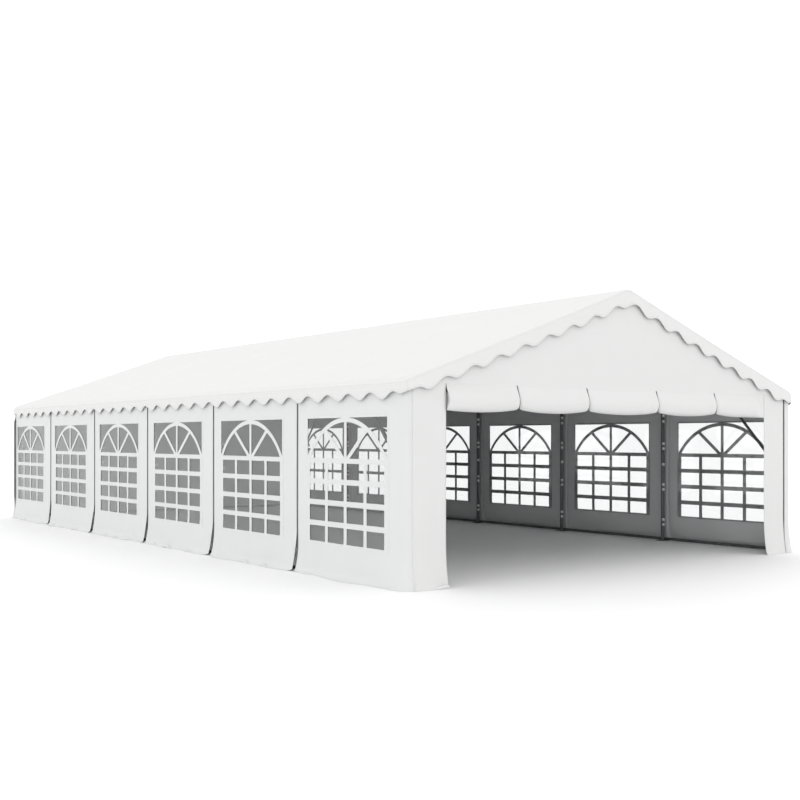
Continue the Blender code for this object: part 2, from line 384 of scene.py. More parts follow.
def roof_point(across, along):
    """The roof at these distances from its middle. Past its edges the cloth turns down."""
    straight_x, straight_y = EAVE_X - ROOF_CORNER_R, ROOF_Y - ROOF_CORNER_R
    past_x, past_y = max(0.0, abs(across) - straight_x), max(0.0, abs(along) - straight_y)
    outward = Vector((past_x, past_y)).normalized()
    reach = min(max(past_x, past_y), ROOF_CORNER_R)
    turn = (max(past_x, past_y) - reach) / EDGE_R
    x = copysign(min(abs(across), straight_x) + outward.x * reach, across)
    y = copysign(min(abs(along), straight_y) + outward.y * reach, along)
    share = abs(x) / EAVE_X
    slack = sin(pi * share) ** 0.7 * between_portals(y)
    ripple = ROOF_RIPPLE * waver(x * 1.1, y * 0.8, 3.0) * min(1.0, 6 * (1 - share))
    return Vector((
        x + copysign(outward.x * EDGE_R * sin(turn), x),
        y + copysign(outward.y * EDGE_R * sin(turn), y),
        roof_line(x) - ROOF_SAG * slack + ripple - EDGE_R * (1 - cos(turn)),
    ))


roof_white = coated_cloth("roof_cloth_white", ROOF_WHITE)
# Painted shade: the inner faces of the cloths are coloured grey to stand in for the dim light
# inside the tent.
painted_shade_lining = coated_cloth("lining_grey", PAINTED_SHADE_LINING_GREY)
half_across = steps(0, RIDGE_STRIP, BEND_PITCH)
half_across += steps(RIDGE_STRIP, EAVE_X - ROOF_CORNER_R, ROOF_PITCH)[1:]
half_along = steps(0, ROOF_Y - ROOF_CORNER_R, ROOF_PITCH)
for half, edge in ((half_across, EAVE_X), (half_along, ROOF_Y)):
    half += steps(edge - ROOF_CORNER_R, edge, BEND_PITCH)[1:]
    half += steps(edge, edge + EDGE_ARC, FOLD_PITCH)[1:]
roof_columns, roof_rows = (
    [-line for line in reversed(half[1:])] + half for half in (half_across, half_along)
)
roof = grid_piece("roof_cloth", roof_columns, roof_rows, roof_point, (0, 0, 1))
line_cloth(roof, roof_white, painted_shade_lining)
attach(roof, "root")
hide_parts("roof_cover")


# The valances
# Four strips of the same cloth sewn under the edges of the roof, with a waved lower edge that
# is bound with a stitched hem. They hang three centimetres clear of the walls, and turn round
# the corners of the tent.
VALANCE_WHITE = (0.735, 0.735, 0.73)
# Dark grey of the valances' inner faces: painted shade that deepens the shadow under their waved
# hems.
VALANCE_BACK_PAINTED_SHADE_GREY = (0.30, 0.303, 0.307)
VALANCE_LAP = 0.004
VALANCE_PROUD = 0.001
VALANCE_UNEVEN = 0.006
HEM_BAND = 0.022
HEM_PROUD = 0.0009
BAND_ROWS = 3
STITCH_LONG = 0.005
STITCH_PITCH = 0.009
STITCH_THICK = 0.0009
STITCH_ROWS = (0.25, 0.75)


def spotted_material(name, dark, pale, roughness, scale):
    """A material whose tone wanders between two colours, with a bump of the same grain."""
    made, shader = plain_material(name, pale, roughness, specular=0.3)
    spots = object_noise(made.node_tree, Scale=scale)
    fill(shader, Base_Color=two_tones(spots, dark, pale), Normal=relief(spots, 0.3, 0.0003))
    return made


def geometry_tree(name, **inputs):
    """A new Geometry Nodes tree and its inputs by name, from default numbers or kinds."""
    tree = bpy.data.node_groups.new(name, "GeometryNodeTree")
    for title, value in inputs.items():
        kind = value if isinstance(value, str) else type(value).__name__.title()
        socket = tree.interface.new_socket(
            title.replace("_", " "), in_out="INPUT", socket_type=f"NodeSocket{kind}"
        )
        if kind != value:
            socket.default_value = value
    tree.interface.new_socket("Geometry", in_out="OUTPUT", socket_type="NodeSocketGeometry")
    given = tree.nodes.new("NodeGroupInput")
    return tree, {title: Output(socket) for title, socket in zip(inputs, given.outputs)}


def end_tree(tree, geometry, material=None):
    """Ends a tree with plain faces in the material, or in those that its parts have."""
    whole = wire(tree, "GeometryNodeRealizeInstances", Geometry=geometry)
    if material:
        whole = wire(tree, "GeometryNodeSetMaterial", Geometry=whole, Material=material)
    fill(tree.nodes.new("NodeGroupOutput"), Geometry=whole)
    return tree


def join(tree, parts):
    joined = tree.nodes.new("GeometryNodeJoinGeometry")
    for part in parts:
        feed(joined.inputs["Geometry"], part)
    return Output(joined.outputs["Geometry"])


def point_place(tree, axis):
    """Where the points of a geometry are along an axis."""
    place = wire(tree, "GeometryNodeInputPosition")
    return wire(tree, "ShaderNodeSeparateXYZ", axis, Vector=place)


def waved_strip_tree(stitched):
    """Geometry Nodes of one valance: a grid in its shape with its hem band, or its stitches."""
    tree, given = geometry_tree(
        "waved_strip", Length=12.0, Columns=600, Rows=12, Wave=0.39, Wave_Start=6.0, Drop=0.12,
        Drop_Tilt=0.0, Swing=0.035, End_Drop=0.09, End_Run=0.20, Lean=0.002, Flutter=0.004,
        Flutter_Turn=-pi / 2, Straight=5.9, Corner=0.13, Along_Gable=0.0, Band=HEM_BAND,
        Proud=HEM_PROUD, Stitch=STITCH_LONG, Stitch_Pitch=STITCH_PITCH,
        Stitch_Thick=STITCH_THICK, Along="Vector", Out="Vector", Middle="Vector",
        Material="Material",
    )

    def shaped(geometry, along, share, from_hem, proud):
        """Moves points to the strip's shape.

        Along is the distance from the strip's middle. Share runs from 0 at the top to 1 at the
        hem, over the whole strip or, where from_hem is set, over the hem band alone. Near its
        ends the strip loses its waves and turns half way round the corner, to meet the next.
        """
        far = abs(along)
        half = given["Length"] * 0.5
        free = rescale(far, half, half - given["End_Run"], interpolation_type="SMOOTHSTEP")
        wave_turn = (along + given["Wave_Start"]) / given["Wave"] * (2 * pi)
        drop = along * given["Drop_Tilt"] + given["Drop"]
        drop = reckon("COSINE", wave_turn) * given["Swing"] + drop
        drop = (drop - given["End_Drop"]) * free + given["End_Drop"]
        if from_hem:
            depth = given["Band"] * share + (drop - given["Band"])
        else:
            depth = drop * share
        low_share = depth / drop
        lean = low_share * given["Lean"]
        flutter = reckon("SINE", wave_turn + given["Flutter_Turn"]) * given["Flutter"]
        uneven = wire(
            tree, "ShaderNodeTexNoise", "Fac", noise_dimensions="1D", W=along, Scale=1.7
        )
        uneven = rescale(uneven, 0.0, 1.0, -VALANCE_UNEVEN, VALANCE_UNEVEN)
        sway = uneven * low_share + flutter * low_share**1.6
        out = sway * free + (lean + proud)

        straight = reckon("MINIMUM", far, given["Straight"])
        corner_turn = (far - straight) / given["Corner"]
        sine, cosine = reckon("SINE", corner_turn), reckon("COSINE", corner_turn)
        reach = given["Corner"] + out
        out = reach * cosine - given["Corner"]
        side_x = cosine * ROOF_CORNER_R + (EAVE_X - ROOF_CORNER_R)
        gable_x = sine * ROOF_CORNER_R + straight
        roof_x = (gable_x - side_x) * given["Along_Gable"] + side_x
        along = reckon("SIGN", along) * (reach * sine + straight)

        down = reckon("SQRT", roof_x * roof_x + RIDGE_ROUND**2) * ROOF_SLOPE + depth
        down = rescale(roof_x, EAVE_BEND_X, EAVE_X) ** 2.0 * EAVE_BEND + down
        down = rescale(roof_x, EAVE_X, 0.0) ** 4.0 * -RIDGE_RISE + down
        vector = "ShaderNodeVectorMath"
        place = reckon("MULTIPLY_ADD", given["Along"], along, given["Middle"], kind=vector)
        place = reckon("MULTIPLY_ADD", given["Out"], out, place, kind=vector)
        below = wire(tree, "ShaderNodeCombineXYZ", Z=down * -1.0)
        place = reckon("ADD", place, below, kind=vector)
        return wire(tree, "GeometryNodeSetPosition", Geometry=geometry, Position=place)

    def cloth_strip(rows, from_hem, proud):
        grid = wire(
            tree, "GeometryNodeMeshGrid", "Mesh", Size_X=given["Length"], Size_Y=1.0,
            Vertices_X=given["Columns"], Vertices_Y=rows,
        )
        along, height = point_place(tree, "X"), point_place(tree, "Y")
        grid = wire(
            tree, "GeometryNodeStoreNamedAttribute", data_type="FLOAT2", domain="CORNER",
            Geometry=grid, Name="UVMap",
            Value=wire(tree, "ShaderNodeCombineXYZ", X=along, Y=height * given["Drop"]),
        )
        return shaped(grid, along, 0.5 - height, from_hem, proud)

    def stitch_row(share):
        """A row of short stitches along the hem band, at this share of the band's height."""
        line = wire(
            tree, "GeometryNodeMeshLine",
            Count=reckon("FLOOR", given["Length"] / given["Stitch_Pitch"]),
            Start_Location=wire(tree, "ShaderNodeCombineXYZ", X=given["Length"] * -0.5),
            Offset=wire(tree, "ShaderNodeCombineXYZ", X=given["Stitch_Pitch"]),
        )
        thick = given["Stitch_Thick"]
        line = shaped(line, point_place(tree, "X"), share, True, thick * 0.3 + given["Proud"])
        points = fill(
            tree.nodes.new("GeometryNodeCurveToPoints"), mode="EVALUATED",
            Curve=wire(tree, "GeometryNodeMeshToCurve", Mesh=line),
        )
        size = wire(tree, "ShaderNodeCombineXYZ", X=thick, Y=thick, Z=given["Stitch"])
        return wire(
            tree, "GeometryNodeInstanceOnPoints", Points=Output(points.outputs["Points"]),
            Instance=wire(tree, "GeometryNodeMeshCube", "Mesh", Size=size),
            Rotation=Output(points.outputs["Rotation"]),
        )

    if stitched:
        parts = [stitch_row(share) for share in STITCH_ROWS]
    else:
        parts = [cloth_strip(given["Rows"], False, 0.0)]
        parts.append(cloth_strip(BAND_ROWS, True, given["Proud"]))
    return end_tree(tree, join(tree, parts), given["Material"])


def plain_mesh(piece):
    """The mesh of a piece with its curves and modifiers worked out. The piece itself goes."""
    graph = bpy.context.evaluated_depsgraph_get()
    mesh = bpy.data.meshes.new_from_object(piece.evaluated_get(graph))
    bpy.data.objects.remove(piece)
    return mesh


def grown(name, tree, start_mesh=None, **values):
    """The plain piece that a Geometry Nodes tree makes with these input values."""
    start = link_piece(name, start_mesh or bpy.data.meshes.new(name))
    maker = start.modifiers.new("maker", "NODES")
    maker.node_group = tree
    for socket in tree.interface.items_tree:
        title = socket.name.replace(" ", "_")
        if socket.in_out == "INPUT" and title in values:
            maker[socket.identifier] = values[title]
    mesh = plain_mesh(start)
    mesh.name = name
    return link_piece(name, mesh)


valance_white = coated_cloth("valance_cloth_white", VALANCE_WHITE)
# Painted shade: the valances' inner faces are dark grey, which darkens the gap between their hems
# and the walls.
valance_back_painted_shade = coated_cloth("valance_back_grey", VALANCE_BACK_PAINTED_SHADE_GREY)
thread_white = spotted_material("sewing_thread", (0.56, 0.56, 0.55), (0.68, 0.68, 0.67), 0.7, 90.0)
valance_cloths, valance_threads = waved_strip_tree(False), waved_strip_tree(True)
valance_x = EAVE_X + EDGE_R + VALANCE_PROUD
valance_y = ROOF_Y + EDGE_R + VALANCE_PROUD
valance_corner = ROOF_CORNER_R + EDGE_R + VALANCE_PROUD
corner_half_arc = valance_corner * pi / 4
side_strip = dict(
    Length=2 * (valance_y - valance_corner + corner_half_arc), Straight=valance_y - valance_corner,
    Columns=1400, Wave=0.388, Drop=0.1085, Swing=0.035, Along_Gable=0.0,
)
gable_strip = dict(
    Length=2 * (valance_x - valance_corner + corner_half_arc), Straight=valance_x - valance_corner,
    Columns=700, Wave=0.3363, Drop=0.143, Drop_Tilt=0.0053, Swing=0.030, Along_Gable=1.0,
)
ridge_top = RIDGE_Z + (VALANCE_LAP - EDGE_R)
valances = {
    "left": ((0, -1, 0), (-1, 0, 0), (-valance_x, 0, ridge_top), side_strip, 0.197),
    "right": ((0, 1, 0), (1, 0, 0), (valance_x, 0, ridge_top), side_strip, -0.197),
    "front": ((1, 0, 0), (0, -1, 0), (0, -valance_y, ridge_top), gable_strip, 0.051),
    "rear": ((-1, 0, 0), (0, 1, 0), (0, valance_y, ridge_top), gable_strip, 0.051),
}
for side, (along, out, middle, strip, wave_start) in valances.items():
    sizes = dict(
        strip, Along=along, Out=out, Middle=middle, Wave_Start=wave_start, Corner=valance_corner
    )
    valance = grown(f"{side}_valance_cloth", valance_cloths, Material=valance_white, **sizes)
    valance.data.shade_smooth()
    if sum(face.normal.dot(Vector(out)) * face.area for face in valance.data.polygons) < 0:
        valance.data.flip_normals()
    valance.data.materials.clear()
    line_cloth(valance, valance_white, valance_back_painted_shade)
    stitches = grown(f"{side}_valance_stitches", valance_threads, Material=thread_white, **sizes)
    for piece in (valance, stitches):
        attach(piece, "root")
    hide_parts(f"{side}_valance")
    length = strip["Length"] * hypot(1, ROOF_SLOPE * strip["Along_Gable"])
    strip["Drop"] + strip["Swing"]
    length * strip["Drop"]


# The panels of the long walls
# Each bay is closed by one hanging panel of coated cloth, laced to the eave rail; its inner face
# is grey, painted shade for the dim inside of the tent.
# It is cut out for the window, and its skirt runs out over the ground at the foot.
WALL_WHITE = (0.71, 0.715, 0.715)
WALL_X = 3.0
WALL_Y = 6.0
BAYS = 6
BAY_LENGTH = 2.0
JOINT_GAP = 0.017
PANEL_TOP_Z = 1.95
PANEL_PITCH = 0.045
EDGE_PITCH = 0.03
GROUND_PITCH = 0.009
LOW_PITCH = 0.022
SKIRT_TOP_PITCH = 0.024
HEAD_PITCH = 0.035
CORNER_R = 0.09
CORNER_ARC = CORNER_R * pi / 2
PAST_CORNER = WALL_Y - CORNER_R + CORNER_ARC
CALM_RUN = 0.35
SWELL = 0.0045
CREASE = 0.0012
SKIRT_Z = 0.42
SKIRT_BEND = 1.8
SKIRT_SWELL = 0.030
SKIRT_FOLD = 0.014
SIDE_FLARE = 0.047
END_FLARE = 0.035
KICK_MEAN = 0.5
KICK_SWING = 1.3
KICK_SLOPE = 1.2
KICK_TOP_Z = 0.055
SKIRT_ON_GROUND = 0.045
GROUND_FOLD_Z = 0.014
GROUND_FOLD_RUN = 0.012
GROUND_RUN = 0.8
GROUND_RIPPLE = 0.5
GROUND_RUN_HELD = 0.4
HEM_LIES_Z = 0.0018
HEM_ROLL = 0.075
HEM_ROLL_SHARE = 0.1
EDGE_HEM = 0.03
HEM_STEP = 0.001
FLAP_HALF_WIDTH = 0.035
FLAP_BEHIND = 0.012
FLAP_PLUMB = 0.035
JOINT_CURL = 0.003
JOINT_CURL_LOW = 0.014
JOINT_CURL_RUN = 0.03
JOINT_LIFT = 0.016
JOINT_LIFT_RUN = 0.1
JOINT_CALM = 0.25
WRAP_PROUD = 0.008
WINDOW_FROM_FAR_JOINT = 0.212
WINDOW_FROM_NEAR_JOINT = 0.326
WINDOW_LOW_Z = 0.353
WINDOW_HIGH_Z = 1.636
END_SEAM = {"left": -0.015, "right": 0.07}
REAR_END = 0.05
SIDES = {"left": -1, "right": 1}


def clamped(share):
    return max(0.0, min(1.0, share))


def skirt_point(height, flare, along, seed, calm, loose=1.0):
    """How far out and how high the cloth is at this flat height, down to its hem on the ground.

    Calm runs from 0 near a corner, where the cloth is even, to 1 where it folds freely. Loose
    does the same for the rolls that the hem makes on the ground.
    """
    z = max(height, GROUND_FOLD_Z)
    low = max(0.0, (SKIRT_Z - z) / SKIRT_Z)
    out = flare * low**SKIRT_BEND
    out += calm * SKIRT_SWELL * low * waver(along * 2.1, seed, 1.0)
    out += calm * SKIRT_FOLD * low**1.5 * waver(along * 6.5, seed, z * 3.0)
    kick = max(0.0, KICK_MEAN + KICK_SWING * waver(along * 1.5, seed, 5.0))
    out += KICK_SLOPE * calm * loose * kick * max(0.0, KICK_TOP_Z - z)
    if height < GROUND_FOLD_Z:
        on_ground = GROUND_FOLD_Z - height
        ripple = calm * waver(along * 7.0, seed, 9.0)
        run = GROUND_RUN_HELD + (1 - GROUND_RUN_HELD) * loose
        out += on_ground * (GROUND_RUN + GROUND_RIPPLE * ripple) * run
        fold = max(0.0, 1 - on_ground / GROUND_FOLD_RUN)
        z = HEM_LIES_Z + (GROUND_FOLD_Z - HEM_LIES_Z) * fold
        roll = max(0.0, waver(along * 4.0, seed, 13.0) + HEM_ROLL_SHARE)
        z += HEM_ROLL * calm * loose * roll * sin(pi * on_ground / SKIRT_ON_GROUND)
    return out, z


def soft_relief(along, height, seed, calm):
    """The shallow swells and creases of hanging cloth, in and out of its plane."""
    swells = SWELL * waver(along * 0.9, height * 0.8, seed)
    creases = CREASE * waver(along * 4.2, height * 2.0, seed + 3)
    return calm * (swells + creases)


def wall_spot(side, along):
    """The plumb wall at this distance along it: its place, the way out of it, and its flare.

    The distance is Y on the long wall itself, and runs on round the corners of the tent.
    """
    end = 1 if along > 0 else -1
    past = abs(along) - (WALL_Y - CORNER_R)
    if past <= 0:
        x, y, out_x, out_y, flare = WALL_X, along, 1.0, 0.0, SIDE_FLARE
    else:
        turn = min(past, CORNER_ARC) / CORNER_R
        out_x, out_y = cos(turn), end * sin(turn)
        x = WALL_X - CORNER_R + CORNER_R * out_x - max(0.0, past - CORNER_ARC)
        y = end * (WALL_Y - CORNER_R) + CORNER_R * out_y
        flare = SIDE_FLARE + (END_FLARE - SIDE_FLARE) * turn / (pi / 2)
    sign = SIDES[side]
    return sign * x, y, sign * out_x, out_y, flare


def wall_point(side, along, height, proud):
    """A point this proud of the wall's cloth, with its creases and its skirt."""
    x, y, out_x, out_y, flare = wall_spot(side, along)
    seed = SIDES[side] * 7.3
    calm = clamped((PAST_CORNER - abs(along)) / CALM_RUN)
    from_joint = abs((along + BAY_LENGTH / 2) % BAY_LENGTH - BAY_LENGTH / 2)
    loose = min(1.0, from_joint / JOINT_CALM)
    out, z = skirt_point(height, flare, along, seed, calm, loose)
    out += soft_relief(along, height, seed, calm) + proud
    return Vector((x + out_x * out, y + out_y * out, z))


def skirt_share(height):
    """0 above the skirt, and 1 in its lower half."""
    return clamped((SKIRT_Z - height) / (SKIRT_Z / 2))


def hem_proud(gap):
    """The turned hem stands this proud at this distance from the cloth's edge."""
    return HEM_PROUD if 0 <= gap < EDGE_HEM else 0.0


def hemmed_steps(start, end, pitch, hem_at_start, hem_at_end):
    """Steps with a close pair of lines where a turned hem ends."""
    lines = steps(start, end, pitch)
    toward = 1 if end > start else -1
    for wanted, edge, inward in ((hem_at_start, start, toward), (hem_at_end, end, -toward)):
        if wanted:
            lines += [edge + inward * (EDGE_HEM + side * HEM_STEP) for side in (-1, 1)]
    return sorted(lines)


def bay_ends(side, bay):
    """Where the panel of a bay and its window start and end along the wall."""
    far = WALL_Y - (bay - 1) * BAY_LENGTH
    near = far - BAY_LENGTH
    start = far - JOINT_GAP / 2 if bay > 1 else PAST_CORNER - REAR_END
    end = near + JOINT_GAP / 2 if bay < BAYS else -PAST_CORNER - END_SEAM[side]
    return start, end, far - WINDOW_FROM_FAR_JOINT, near + WINDOW_FROM_NEAR_JOINT


wall_white = coated_cloth("wall_cloth_white", WALL_WHITE)
panels = {}
panel_rows = steps(GROUND_FOLD_Z - SKIRT_ON_GROUND, GROUND_FOLD_Z, GROUND_PITCH)
for low, high, pitch in (
    (GROUND_FOLD_Z, WINDOW_LOW_Z, LOW_PITCH), (WINDOW_LOW_Z, SKIRT_Z, SKIRT_TOP_PITCH),
    (SKIRT_Z, WINDOW_HIGH_Z, PANEL_PITCH), (WINDOW_HIGH_Z, PANEL_TOP_Z, HEAD_PITCH),
):
    panel_rows += steps(low, high, pitch)[1:]
flap_rows = [row for row in panel_rows if row >= GROUND_FOLD_Z]
for side in SIDES:
    for bay in range(1, BAYS + 1):
        start, end, window_start, window_end = bay_ends(side, bay)

        def place(along, height):
            gap = min(start - along, along - end, height - panel_rows[0])
            from_far = start - along if bay > 1 else BAY_LENGTH
            from_near = along - end if bay < BAYS else BAY_LENGTH
            from_joint = min(from_far, from_near)
            most = JOINT_CURL + (JOINT_CURL_LOW - JOINT_CURL) * skirt_share(height)
            curl = most * max(0.0, 1 - from_joint / JOINT_CURL_RUN) ** 2
            curl = -curl if from_far < from_near else curl
            wrap = WRAP_PROUD * clamped((-PAST_CORNER - along) / END_SEAM["right"])
            wrap *= 1 - skirt_share(height)
            spot = wall_point(side, along, height, hem_proud(gap) + curl + wrap)
            lift = JOINT_LIFT * max(0.0, 1 - from_joint / JOINT_LIFT_RUN) ** 2
            spot.z += lift * max(0.0, 1 - height / JOINT_LIFT_RUN)
            return spot

        def cloth_here(along, height):
            in_window = window_end < along < window_start
            return not (in_window and WINDOW_LOW_Z < height < WINDOW_HIGH_Z)

        columns = (
            hemmed_steps(end, window_end, EDGE_PITCH, True, False)
            + steps(window_end, window_start, PANEL_PITCH)[1:-1]
            + hemmed_steps(window_start, start, EDGE_PITCH, False, True)
        )
        outward = (SIDES[side], 0, 0)
        panel = grid_piece(
            f"{side}_panel_{bay}", columns, panel_rows, place, outward, cloth_here
        )
        line_cloth(panel, wall_white, painted_shade_lining)
        panels[side, bay] = [panel]
        if bay > 1:
            joint = (start + bay_ends(side, bay - 1)[1]) / 2

            def flap_place(along, height):
                low = max(0.0, (SKIRT_Z - height) / SKIRT_Z)
                return wall_point(side, along, height, -FLAP_BEHIND - FLAP_PLUMB * low**1.2)

            flap_columns = steps(joint - FLAP_HALF_WIDTH, joint + FLAP_HALF_WIDTH, FLAP_HALF_WIDTH)
            flap = grid_piece(
                f"{side}_joint_flap_{bay}", flap_columns, flap_rows, flap_place, outward
            )
            # The joint flaps are grey on both faces: painted shade that keeps the gaps between the
            # panels dark.
            line_cloth(flap, painted_shade_lining, painted_shade_lining)
            panels[side, bay].append(flap)


# The windows of the long walls
# A sheet of clear soft film is welded behind each cut-out. White bars of the wall's own cloth
# cross it: an arch with two spokes and a mullion, over four rows of four panes.
FILM_LAP = 0.02
FILM_EDGE = 0.003
FILM_PITCH_X = 0.06
FILM_PITCH_Z = 0.05
FILM_BEHIND = 0.0024
FILM_SLACK = 0.0010
FILM_THICKNESS = 0.0006
BARS_LAP = 0.028
BARS_PROUD = 0.0002
PANES = 4
PANE_WIDTH = 0.302
PANE_HEIGHT = 0.1635
PANE_PITCH_X = 0.355
PANE_PITCH_Z = 0.2185
SILL_Z = 1.222
ARCH_CENTRE_Z = 0.777
ARCH_OUTER_R = 0.861
ARCH_INNER_R = 0.814
ARC_STEPS = 14
ARCH_TOP_OFF = 0.001
MULLION_WIDTH = 0.047
SPOKE_WIDTH = 0.046
SPOKE_ANGLE = radians(40.2)
SPOKE_FROM_Z = 1.187
WINDOW_WIDTH = BAY_LENGTH - WINDOW_FROM_FAR_JOINT - WINDOW_FROM_NEAR_JOINT
BARS_CUT = 0.09
BARS_WELD = 0.00005
SAME_SPOT = 0.00001
BARS_WHITE = (0.755, 0.76, 0.76)


def arc_points(radius, start_across, end_across):
    """Points on a circle about the arch's centre, from one distance across to another."""
    start, end = asin(start_across / radius), asin(end_across / radius)
    turns = (start + (end - start) * step / ARC_STEPS for step in range(ARC_STEPS + 1))
    return [(radius * sin(turn), ARCH_CENTRE_Z + radius * cos(turn)) for turn in turns]


def spoke_meets_arch(shift):
    """Where an edge of the spoke, shifted up by this much, meets the arch's inner edge."""
    low = SPOKE_FROM_Z + shift - ARCH_CENTRE_Z
    run = -low * sin(SPOKE_ANGLE) + sqrt(ARCH_INNER_R**2 - (low * cos(SPOKE_ANGLE)) ** 2)
    return run * cos(SPOKE_ANGLE)


def window_openings():
    """Outlines of the clear fields, as distances across from the window's middle and heights."""
    half_window = WINDOW_WIDTH / 2
    fields = []
    for row in range(PANES):
        low = WINDOW_LOW_Z + row * PANE_PITCH_Z
        for column in range(PANES):
            left = (column - (PANES - 1) / 2) * PANE_PITCH_X - PANE_WIDTH / 2
            right, high = left + PANE_WIDTH, low + PANE_HEIGHT
            fields.append([(left, low), (right, low), (right, high), (left, high)])
    half_spoke = SPOKE_WIDTH / 2 / cos(SPOKE_ANGLE)
    rise = sin(SPOKE_ANGLE) / cos(SPOKE_ANGLE)
    half_mullion = MULLION_WIDTH / 2
    upper = [(half_mullion, SPOKE_FROM_Z + half_spoke + half_mullion * rise)]
    upper += reversed(arc_points(ARCH_INNER_R, half_mullion, spoke_meets_arch(half_spoke)))
    sill_end = sqrt(ARCH_INNER_R**2 - (SILL_Z - ARCH_CENTRE_Z) ** 2)
    lower = [((SILL_Z - SPOKE_FROM_Z + half_spoke) / rise, SILL_Z)]
    lower += reversed(arc_points(ARCH_INNER_R, spoke_meets_arch(-half_spoke), sill_end))
    corner_end = ARCH_CENTRE_Z + sqrt(ARCH_OUTER_R**2 - half_window**2)
    top_start = sqrt(ARCH_OUTER_R**2 - (WINDOW_HIGH_Z - ARCH_TOP_OFF - ARCH_CENTRE_Z) ** 2)
    corner = [(half_window, corner_end), (half_window, WINDOW_HIGH_Z)]
    corner += [(top_start, WINDOW_HIGH_Z)]
    corner += arc_points(ARCH_OUTER_R, top_start, half_window)[:-1]
    for field in (upper, lower, corner):
        fields.append(field)
        fields.append([(-across, z) for across, z in reversed(field)])
    return fields


def cut_mesh(bm, spot, normal, **sides):
    """Cuts the faces of a mesh along a plane."""
    bmesh.ops.bisect_plane(
        bm, geom=bm.verts[:] + bm.edges[:] + bm.faces[:], plane_co=spot, plane_no=normal,
        dist=SAME_SPOT, **sides,
    )


def flat_bars():
    """The bars as a flat mesh, X across the window and Y up, cut fine enough to follow folds."""
    half = WINDOW_WIDTH / 2 + BARS_LAP
    low, high = WINDOW_LOW_Z - BARS_LAP, WINDOW_HIGH_Z + BARS_LAP
    curve = bpy.data.curves.new("bars", "CURVE")
    curve.dimensions = "2D"
    curve.fill_mode = "FRONT"
    for outline in [[(-half, low), (half, low), (half, high), (-half, high)], *window_openings()]:
        spline = curve.splines.new("POLY")
        spline.points.add(len(outline) - 1)
        spline.use_cyclic_u = True
        for point, (across, z) in zip(spline.points, outline):
            point.co = (across, z, 0, 1)
    bm = bmesh.new()
    bm.from_mesh(plain_mesh(link_piece("bars", curve)))
    bmesh.ops.remove_doubles(bm, verts=bm.verts, dist=BARS_WELD)
    for axis, start, end in (((1, 0, 0), -half, half), ((0, 1, 0), low, high)):
        for line in steps(start, end, BARS_CUT)[1:-1]:
            cut_mesh(bm, Vector(axis) * line, axis)
    return bm


def edged_steps(start, end, pitch):
    """Even steps with a narrow one at each end, which keeps the film flat up to its edge."""
    return [start] + steps(start + FILM_EDGE, end - FILM_EDGE, pitch) + [end]


film, film_shader = plain_material(
    "clear_window_film", (0.90, 0.91, 0.91), 0.0, Transmission_Weight=1.0, IOR=1.48
)
film_waves = object_noise(film.node_tree, Scale=2.4, Detail=2.0)
fill(film_shader, Normal=relief(film_waves, 0.4, 0.0012))

# The bars are brighter over the window, where they stand out, than on the lap round it.
bars_white = coated_cloth("window_bars_white", BARS_WHITE)
bars_shader = bars_white.node_tree.nodes["Principled BSDF"]
bars_flat = wire(bars_white.node_tree, "ShaderNodeTexCoord", "UV")
across, height = (
    wire(bars_white.node_tree, "ShaderNodeSeparateXYZ", axis, Vector=bars_flat) for axis in "XY"
)
over_window = reckon("LESS_THAN", abs(across), WINDOW_WIDTH / 2) * reckon(
    "LESS_THAN", abs(height - (WINDOW_LOW_Z + WINDOW_HIGH_Z) / 2),
    (WINDOW_HIGH_Z - WINDOW_LOW_Z) / 2,
)
bars_tone = wire(
    bars_white.node_tree, "ShaderNodeMix", "Result", data_type="RGBA", Factor=over_window,
    A=(*WALL_WHITE, 1), B=Output(bars_shader.inputs["Base Color"].links[0].from_socket),
)
fill(bars_shader, Base_Color=bars_tone)

bars_pattern = flat_bars()
film_across = edged_steps(-WINDOW_WIDTH / 2 - FILM_LAP, WINDOW_WIDTH / 2 + FILM_LAP, FILM_PITCH_X)
film_up = edged_steps(WINDOW_LOW_Z - FILM_LAP, WINDOW_HIGH_Z + FILM_LAP, FILM_PITCH_Z)
for (side, bay), (panel, *flaps) in panels.items():
    start, end, window_start, window_end = bay_ends(side, bay)
    middle = (window_start + window_end) / 2
    outward = (SIDES[side], 0, 0)

    def film_point(across, height):
        slack = FILM_SLACK * (1 + waver(across * 2.0, height * 2.0, bay * 5.1))
        return wall_point(side, middle + across, height, -FILM_BEHIND - slack)

    def bars_point(across, height):
        return wall_point(side, middle + across, height, CLOTH_THICKNESS + BARS_PROUD)

    film_piece = grid_piece(f"{side}_film_{bay}", film_across, film_up, film_point, outward)
    film_piece.data.materials.append(film)
    film_piece.modifiers.new("film_thickness", "SOLIDIFY").thickness = FILM_THICKNESS
    bars_name = f"{side}_bars_{bay}"
    bm = bars_pattern.copy()
    flat = {vert: (vert.co.x, vert.co.y) for vert in bm.verts}
    bars = link_piece(bars_name, placed_mesh(bars_name, bm, flat, bars_point, outward))
    line_cloth(bars, bars_white, painted_shade_lining)

    for piece, replaced in ((panel, "wall"), (film_piece, "window")):
        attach(piece, "root")
        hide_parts(f"{side}_{replaced}_{bay}")
    for piece in (bars, *flaps):
        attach(piece, "root")
    cut_length = PANEL_TOP_Z + SKIRT_ON_GROUND
    start - end
    (start - end) * cut_length - WINDOW_WIDTH * (WINDOW_HIGH_Z - WINDOW_LOW_Z)
bars_pattern.free()


